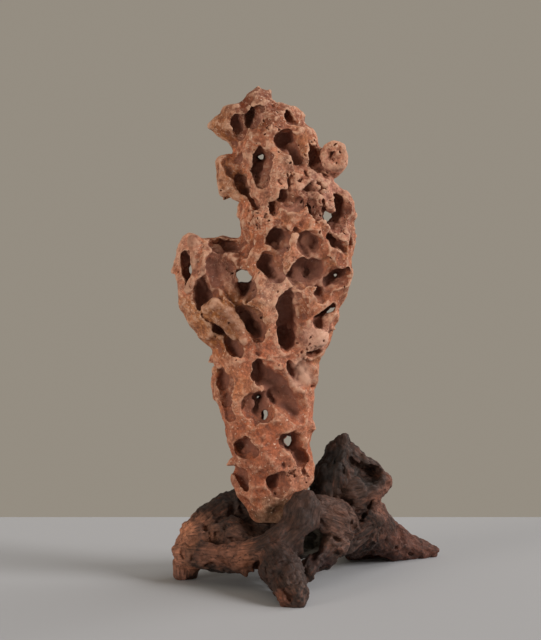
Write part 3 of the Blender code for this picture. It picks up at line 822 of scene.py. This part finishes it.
def addNode(tree, kind, **values):
    # a name that starts with in_ is an input of the node, any other is one of its settings
    node = tree.nodes.new(kind)
    for name, value in values.items():
        if name.startswith("in_"):
            plug(tree, value, node.inputs[name[3:].replace("_", " ")])
        else:
            setattr(node, name, value)
    return node


def addRamp(tree, source, stops):
    ramp = tree.nodes.new("ShaderNodeValToRGB")
    tones = ramp.color_ramp.elements
    for tone, (position, colour) in zip(tones, (stops[0], stops[-1])):
        tone.position = position
        tone.color = (*colour, 1)
    for position, colour in stops[1:-1]:
        tones.new(position).color = (*colour, 1)
    tree.links.new(source, ramp.inputs[0])
    return ramp.outputs[0]


def mapRange(tree, source, low, high, newLow=0, newHigh=1):
    return addNode(tree, "ShaderNodeMapRange", in_Value=source, in_From_Min=low, in_From_Max=high,
                   in_To_Min=newLow, in_To_Max=newHigh).outputs[0]


def maths(tree, operation, *values):
    node = addNode(tree, "ShaderNodeMath", operation=operation)
    for value, socket in zip(values, node.inputs):
        plug(tree, value, socket)
    return node.outputs[0]


def mixColour(tree, factor, first, second, blend="MIX"):
    node = addNode(tree, "ShaderNodeMix", data_type="RGBA", blend_type=blend)
    for value, index in ((factor, 0), (first, 6), (second, 7)):
        plug(tree, value, node.inputs[index])
    return node.outputs[2]


def noiseValue(tree, vector, scale, detail, rough, warped=0, middle=None):
    # with a middle, it is the distance from that value, which is least along wandering lines
    value = addNode(tree, "ShaderNodeTexNoise", in_Vector=vector, in_Scale=scale, in_Detail=detail,
                    in_Roughness=rough, in_Distortion=warped).outputs[0]
    if middle is None:
        return value
    return maths(tree, "ABSOLUTE", maths(tree, "SUBTRACT", value, middle))


def attribute(tree, name, output="Fac"):
    return addNode(tree, "ShaderNodeAttribute", attribute_name=name).outputs[output]


def addBump(tree, height, strength, distance, **before):
    return addNode(tree, "ShaderNodeBump", in_Height=height, in_Strength=strength,
                   in_Distance=distance * mm, **before).outputs[0]


patchLook = {"noise": (38, 3, 0.55), "ragged": 1.6, "edge": (0.55, 1.15)}


def addPatches(tree, colour, sources, patches):
    # soft-edged balls of colour, broken up by noise:
    # x, y, z and radius in mm about the rock's axis, strength and tint
    ragged = noiseValue(tree, sources["place"], *patchLook["noise"])
    ragged = maths(tree, "SUBTRACT", ragged, 0.5)
    ragged = maths(tree, "MULTIPLY", ragged, patchLook["ragged"])
    for x, y, z, radius, strength, tint in patches:
        far = addNode(tree, "ShaderNodeVectorMath", operation="DISTANCE", in_Vector=sources["place"])
        far.inputs[1].default_value = mmVector(x - baseCentre[0], y - baseCentre[1], z)
        share = maths(tree, "DIVIDE", far.outputs["Value"], radius * mm)
        share = maths(tree, "ADD", share, ragged)
        mask = mapRange(tree, share, *patchLook["edge"], strength, 0)
        colour = mixColour(tree, mask, colour, tint)
    return colour


def maskFrom(tree, sources, spans, operation="MULTIPLY"):
    # a span is a name, its start and end, and, if not 0 and 1, the mask's values there;
    # a name alone is taken as it stands, and one that is no source is a value of the surface
    mask = None
    for name, *ends in spans:
        part = sources[name] if name in sources else attribute(tree, name)
        if ends:
            part = mapRange(tree, part, *ends)
        mask = maths(tree, operation, mask, part) if mask else part
    return mask


def readSources(tree, look):
    # the place, the height, the noises, and the masks that are joined beforehand
    place = tree.nodes.new("ShaderNodeTexCoord").outputs["Object"]
    axes = tree.nodes.new("ShaderNodeSeparateXYZ")
    tree.links.new(place, axes.inputs[0])
    sources = {"place": place, "height": axes.outputs["Z"]}
    for name, values in look["noises"].items():
        sources[name] = noiseValue(tree, place, *values)
    for name, values in look.get("grainNoises", {}).items():
        sources[name] = noiseValue(tree, attribute(tree, "grain", "Vector"), *values)
    for name, (operation, *spans) in look["joined"].items():
        sources[name] = maskFrom(tree, sources, spans, operation)
    return sources


def newMaterial(name):
    material = bpy.data.materials.new(name)
    material.use_nodes = True
    tree = material.node_tree
    return material, tree, tree.nodes["Principled BSDF"]


def makeMaterial(name, look):
    # a layer is a list of patches, an overlay with its strength, noise and tones, or a tint
    # with the spans that its mask is the product of
    material, tree, shader = newMaterial(name)
    sources = readSources(tree, look)
    start, tones = look["ground"]
    colour = addRamp(tree, sources[start], tones)
    for kind, *parts in look["layers"]:
        if kind == "patches":
            colour = addPatches(tree, colour, sources, look[parts[0]])
        elif kind == "overlay":
            strength, source, tones = parts
            if isinstance(strength, tuple):
                strength = maskFrom(tree, sources, [strength])
            tones = addRamp(tree, sources[source], tones)
            colour = mixColour(tree, strength, colour, tones, "OVERLAY")
        else:
            colour = mixColour(tree, maskFrom(tree, sources, parts), colour, look[kind])
    height = 0
    for source, weight in look["heights"].items():
        height = maths(tree, "ADD", height, maths(tree, "MULTIPLY", sources[source], weight))
    normal = addBump(tree, height, *look["bump"])
    normal = addBump(tree, sources["grit"], *look["gritBump"], in_Normal=normal)
    plug(tree, colour, shader.inputs["Base Color"])
    plug(tree, maskFrom(tree, sources, [look["roughness"]]), shader.inputs["Roughness"])
    plug(tree, look["sheen"], shader.inputs["Specular IOR Level"])
    plug(tree, normal, shader.inputs["Normal"])
    return material


stoneLook = {
    # hollow and deep are painted shade, darker the further a place lies inside a pit; hollow also darkens
    # the creases
    "ochre": (0.42, 0.175, 0.058), "hollow": (0.19, 0.074, 0.05), "deep": (0.2, 0.092, 0.066),
    # the crust colour is both the stone's pale crust lines and a painted highlight on its swells, rims and
    # ridges
    "crust": (0.6, 0.35, 0.235), "fleck": (0.78, 0.58, 0.45), "crack": (0.11, 0.036, 0.024),
    # the umber colour is both a real stain and painted shade in the dips
    "umber": (0.19, 0.062, 0.034),
    # scale, detail and roughness, and where they matter distortion and middle
    "noises": {
        "broad": (14, 4, 0.55, 0.8), "veins": (34, 5, 0.6, 1.2), "stain": (52, 5, 0.62, 1.6),
        "blotch": (88, 5, 0.65, 0.8), "fine": (240, 5, 0.72), "lines": (42, 4, 0.6, 1.5, 0.5),
        "lined": (22, 2, 0.55), "splits": (58, 5, 0.65, 2, 0.47), "split": (27, 2, 0.55),
        "flecks": (280, 2, 0.5), "specks": (190, 3, 0.6), "grit": (620, 4, 0.7),
    },
    # the lower stone is smoother and more even than the upper
    "joined": {
        "upper": ("MULTIPLY", ("height", 0.2, 0.42, 0.35, 1)),
        "crusted": ("MULTIPLY", ("lines", 0.02, 0.005, 0, 0.8), ("lined", 0.46, 0.56), ("upper",)),
        "cracked": ("MULTIPLY", ("splits", 0.014, 0.003, 0, 0.8), ("split", 0.5, 0.42)),
        "crest": ("MULTIPLY", ("sharp", 0.2, 0.6, 0, 0.5), ("upper",)),
        "ridge": ("MAXIMUM", ("crest",), ("sharp", 0.34, 0.7, 0, 0.65)),
        "crease": ("MAXIMUM", ("rim", -0.3, -1.6, 0, 0.6), ("sharp", -0.12, -0.45, 0, 0.6)),
    },
    "ground": ("broad", [(0.36, (0.25, 0.067, 0.03)), (0.48, (0.41, 0.128, 0.056)),
                         (0.64, (0.49, 0.19, 0.108))]),
    "layers": [
        ("ochre", ("veins", 0.52, 0.66, 0, 0.5)),
        ("patches", "patches"),
        # painted highlight on the swells, painted shade in the dips
        ("crust", ("swell", 0.8, 5, 0, 0.22)), ("umber", ("swell", -0.4, -4, 0, 0.55)),
        ("umber", ("stain", 0.48, 0.36, 0, 0.6)),
        ("overlay", ("height", 0.2, 0.42, 0.45, 0.75), "blotch",
         [(0.32, (0.24, 0.2, 0.19)), (0.5, (0.455, 0.455, 0.455)), (0.68, (0.68, 0.69, 0.7))]),
        ("overlay", 0.8, "fine",
         [(0.3, (0.2, 0.17, 0.16)), (0.5, (0.48, 0.48, 0.48)), (0.7, (0.8, 0.81, 0.82))]),
        ("crust", ("crusted",)), ("crack", ("cracked",)),
        ("fleck", ("flecks", 0.63, 0.7), ("stain", 0.45, 0.6, 0.1, 0.9)),
        ("crack", ("specks", 0.33, 0.26, 0, 0.7)),
        # painted highlight: the pale crust colour along the rims and ridges
        ("crust", ("rim", 0.25, 1.2, 0, 0.75), ("blotch", 0.35, 0.55, 0.3, 1), ("upper",)),
        ("crust", ("ridge",), ("depth", 0.7, 0.15)),
        # painted shade: darker the deeper in the pits
        ("hollow", ("depth", 0.12, 0.6), ("veins", 0.3, 0.6, 0.9, 0.65)),
        ("deep", ("depth", 0.6, 1.4, 0, 0.85)),
        ("patches", "knobs"),
        # painted shade in the creases
        ("hollow", ("crease",)),
    ],
    "roughness": ("fine", 0.3, 0.7, 0.95, 0.65), "sheen": 0.35,
    "heights": {"fine": 1, "blotch": 1.2, "cracked": -0.8, "crusted": 0.4},
    # strength, and depth in mm
    "bump": (0.45, 2.2), "gritBump": (0.35, 0.8),
    # pale knobs on the floors of pits
    "knobs": [
        (48, -45, 308, 24, 0.85, (0.6, 0.35, 0.25)), (68, -50, 366, 20, 0.6, (0.6, 0.34, 0.25)),
        (57, -40, 505, 16, 0.5, (0.5, 0.23, 0.155)), (8, -40, 458, 12, 0.5, (0.4, 0.19, 0.13)),
        (30, -40, 550, 14, 0.5, (0.42, 0.18, 0.12)), (-18, -30, 690, 10, 0.6, (0.5, 0.24, 0.17)),
    ],
    "patches": [
        (-78, 0, 682, 40, 0.8, (0.35, 0.13, 0.038)), (-62, 0, 596, 40, 0.65, (0.42, 0.165, 0.06)),
        (-60, -45, 392, 62, 0.94, (0.245, 0.076, 0.006)), (-110, -30, 380, 50, 0.6, (0.42, 0.165, 0.062)),
        (70, -50, 362, 32, 0.8, (0.64, 0.37, 0.28)), (48, -50, 308, 26, 0.8, (0.66, 0.39, 0.28)),
        (98, -10, 634, 36, 0.5, (0.48, 0.215, 0.14)), (80, -30, 590, 45, 0.6, (0.52, 0.26, 0.19)),
        (0, -20, 220, 130, 0.7, (0.38, 0.1, 0.04)), (-20, -10, 120, 60, 0.6, (0.33, 0.09, 0.036)),
        # the patches at (-84, -30, 290) and (-62, -30, 160) are painted shade on the ledges of the left
        # edge
        (-84, -30, 290, 30, 0.3, (0.2, 0.065, 0.036)), (-50, -50, 300, 36, 0.6, (0.6, 0.235, 0.11)),
        (-62, -30, 160, 30, 0.4, (0.17, 0.058, 0.036)), (45, -45, 160, 36, 0.5, (0.56, 0.27, 0.17)),
        (8, -20, 100, 38, 0.85, (0.11, 0.062, 0.03)), (100, -20, 545, 40, 0.5, (0.27, 0.085, 0.058)),
        # the patch at (-72, -10, 466) is painted shade in the recess of the arm
        (-16, 0, 708, 62, 0.95, (0.165, 0.033, 0.008)), (-72, -10, 466, 50, 0.7, (0.21, 0.067, 0.034)),
        (-130, 0, 495, 40, 0.6, (0.6, 0.3, 0.2)), (10, -48, 430, 38, 0.6, (0.64, 0.37, 0.26)),
        (-15, -50, 340, 46, 0.6, (0.54, 0.165, 0.085)), (0, -40, 180, 50, 0.4, (0.34, 0.095, 0.045)),
        (14, -50, 592, 52, 0.4, (0.6, 0.3, 0.2)),
    ],
}

woodLook = {
    # the groove colour is painted shade: near-black drawn into the seams along the grain
    "groove": (0.006, 0.0036, 0.0025),
    "noises": {"blotch": (48, 5, 0.65, 1), "grit": (420, 4, 0.7)},
    "grainNoises": {"fibre": (0.34, 6, 0.62, 0.4), "strand": (0.16, 4, 0.55, 0.8),
                    "seams": (0.085, 4, 0.6, 1.2, 0.5)},
    "joined": {"seamed": ("MULTIPLY", ("seams", 0.02, 0.004, 0, 0.7))},
    "ground": ("strand", [(0.36, (0.026, 0.0117, 0.0076)), (0.52, (0.05, 0.0238, 0.0155)),
                          (0.66, (0.09, 0.0324, 0.0185))]),
    "layers": [
        ("patches", "patches"),
        ("overlay", 0.7, "fibre",
         [(0.3, (0.2, 0.19, 0.18)), (0.5, (0.5, 0.5, 0.5)), (0.7, (0.8, 0.79, 0.78))]),
        ("overlay", 0.8, "blotch",
         [(0.32, (0.2, 0.19, 0.19)), (0.5, (0.5, 0.5, 0.5)), (0.68, (0.76, 0.74, 0.72))]),
        # painted shade in the seams along the grain
        ("groove", ("seamed",)),
    ],
    "roughness": ("fibre", 0.3, 0.7, 0.85, 0.55), "sheen": 0.35,
    "heights": {"fibre": 1, "seamed": -0.7},
    "bump": (0.6, 2.6), "gritBump": (0.3, 0.8),
    "patches": [
        (-126, -4, 50, 50, 0.92, (0.37, 0.153, 0.085)), (-72, -70, 46, 44, 0.85, (0.165, 0.065, 0.038)),
        (-32, -85, 38, 30, 0.8, (0.17, 0.066, 0.036)), (40, -70, 100, 56, 0.7, (0.042, 0.0198, 0.014)),
        # the patches at (-60, -62, 14) and (-86, -50, 15) are painted shade under the front bar
        (-60, -62, 14, 30, 0.9, (0.018, 0.01, 0.0075)), (-86, -50, 15, 24, 0.9, (0.018, 0.01, 0.0075)),
        (20, -130, 30, 54, 0.7, (0.031, 0.0145, 0.011)), (104, -40, 95, 50, 0.6, (0.125, 0.0576, 0.0386)),
        (230, 160, 30, 110, 0.75, (0.105, 0.033, 0.019)), (178, 30, 120, 40, 0.6, (0.2, 0.0738, 0.0437)),
        # the patch at (74, 10, 165) is a painted shadow on the peak's left face, where the stone blocks
        # the light
        (74, 10, 165, 50, 0.95, (0.006, 0.0036, 0.0025)), (-131, -14, 32, 30, 0.85, (0.31, 0.129, 0.078)),
        (-131, -14, 2, 20, 0.8, (0.13, 0.056, 0.038)), (-54, -36, 74, 17, 0.7, (0.16, 0.07, 0.044)),
        # the patch at (-50, 50, 110) is a painted shadow of the stone on the arm behind it
        (-50, 50, 110, 50, 0.8, (0.016, 0.009, 0.0067)), (15, -195, 12, 14, 0.85, (0.15, 0.052, 0.028)),
        (-30, 0, 80, 44, 0.7, (0.058, 0.031, 0.022)), (-84, -20, 76, 30, 0.4, (0.05, 0.0288, 0.0218)),
        (72, -70, 36, 24, 0.6, (0.035, 0.0108, 0.0101)), (62, -14, 64, 36, 0.95, (0.12, 0.105, 0.08)),
        # the patch at (152, 18, 152) is painted shade in the hollow by the peak
        (86, -12, 154, 9, 0.8, (0.26, 0.09, 0.0588)), (152, 18, 152, 27, 0.85, (0.012, 0.0072, 0.005)),
    ],
}


# the room

roomLook = {
    "wall": (0.3, 0.268, 0.222), "floor": (0.41, 0.42, 0.442), "floorRough": 0.8,
    "floorBack": 567, "floorReach": 3500,
    # soft light from one side, as even as that of a far window:
    # where each sun stands, its strength, its spread in degrees and its colour
    "suns": {
        "key": ((4.4, -1.5, 2.3), 2.5, 26, (1, 0.97, 0.95)),
        "top": ((2.6, 1.6, 2.1), 1.05, 45, (1, 0.97, 0.95)),
        "fill": ((-2.0, -1.8, 0.35), 1.6, 22, (1, 0.92, 0.83)),
    },
}
cameraView = {"sensor": 36, "lens": 86.2, "aim": (0, 0, 390)}


def makeRoom():
    bm = bmesh.new()
    reach, back = roomLook["floorReach"], roomLook["floorBack"]
    size = Matrix.Diagonal((*mmVector(2 * reach, reach + back), 1, 1))
    bmesh.ops.create_grid(bm, x_segments=1, y_segments=1, size=0.5,
                          matrix=Matrix.Translation(mmVector(0, (back - reach) / 2, 0)) @ size)
    floor = toObject("floor", bm)
    material, tree, shader = newMaterial("paleFloor")
    plug(tree, roomLook["floor"], shader.inputs["Base Color"])
    plug(tree, roomLook["floorRough"], shader.inputs["Roughness"])
    floor.data.materials.append(material)
    world = bpy.data.worlds.new("room")
    scene.world = world
    world.use_nodes = True
    background = world.node_tree.nodes["Background"]
    plug(world.node_tree, roomLook["wall"], background.inputs["Color"])
    background.inputs["Strength"].default_value = 1


def placeFacing(name, data, place, aim):
    thing = bpy.data.objects.new(name, data)
    scene.collection.objects.link(thing)
    thing.location = place
    thing.rotation_euler = (aim - thing.location).to_track_quat("-Z", "Y").to_euler()
    return thing


def makeLights():
    for name, (place, strength, spread, colour) in roomLook["suns"].items():
        data = bpy.data.lights.new(name, "SUN")
        data.energy = strength
        data.angle = math.radians(spread)
        data.color = colour
        placeFacing(name, data, place, Vector())


def makeCamera():
    data = bpy.data.cameras.new("view")
    data.sensor_width = cameraView["sensor"]
    data.lens = cameraView["lens"]
    aim = toBase @ mmVector(*cameraView["aim"])
    scene.camera = placeFacing("view", data, toBase @ mmVector(*viewPoint), aim)


makeCamera()
rock = makeRock()
stand = makeStand(rock)
for piece, name, look in ((rock, "wornStone", stoneLook), (stand, "rootWood", woodLook)):
    finishPiece(piece, makeMaterial(name, look))
    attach(piece, "root")
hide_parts("rock")
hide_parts("stand_heart", "stand_left_root", "stand_front_root", "stand_right_root",
            "stand_back_root", "stand_peak")
makeRoom()
makeLights()
scene.view_settings.view_transform = "Standard"
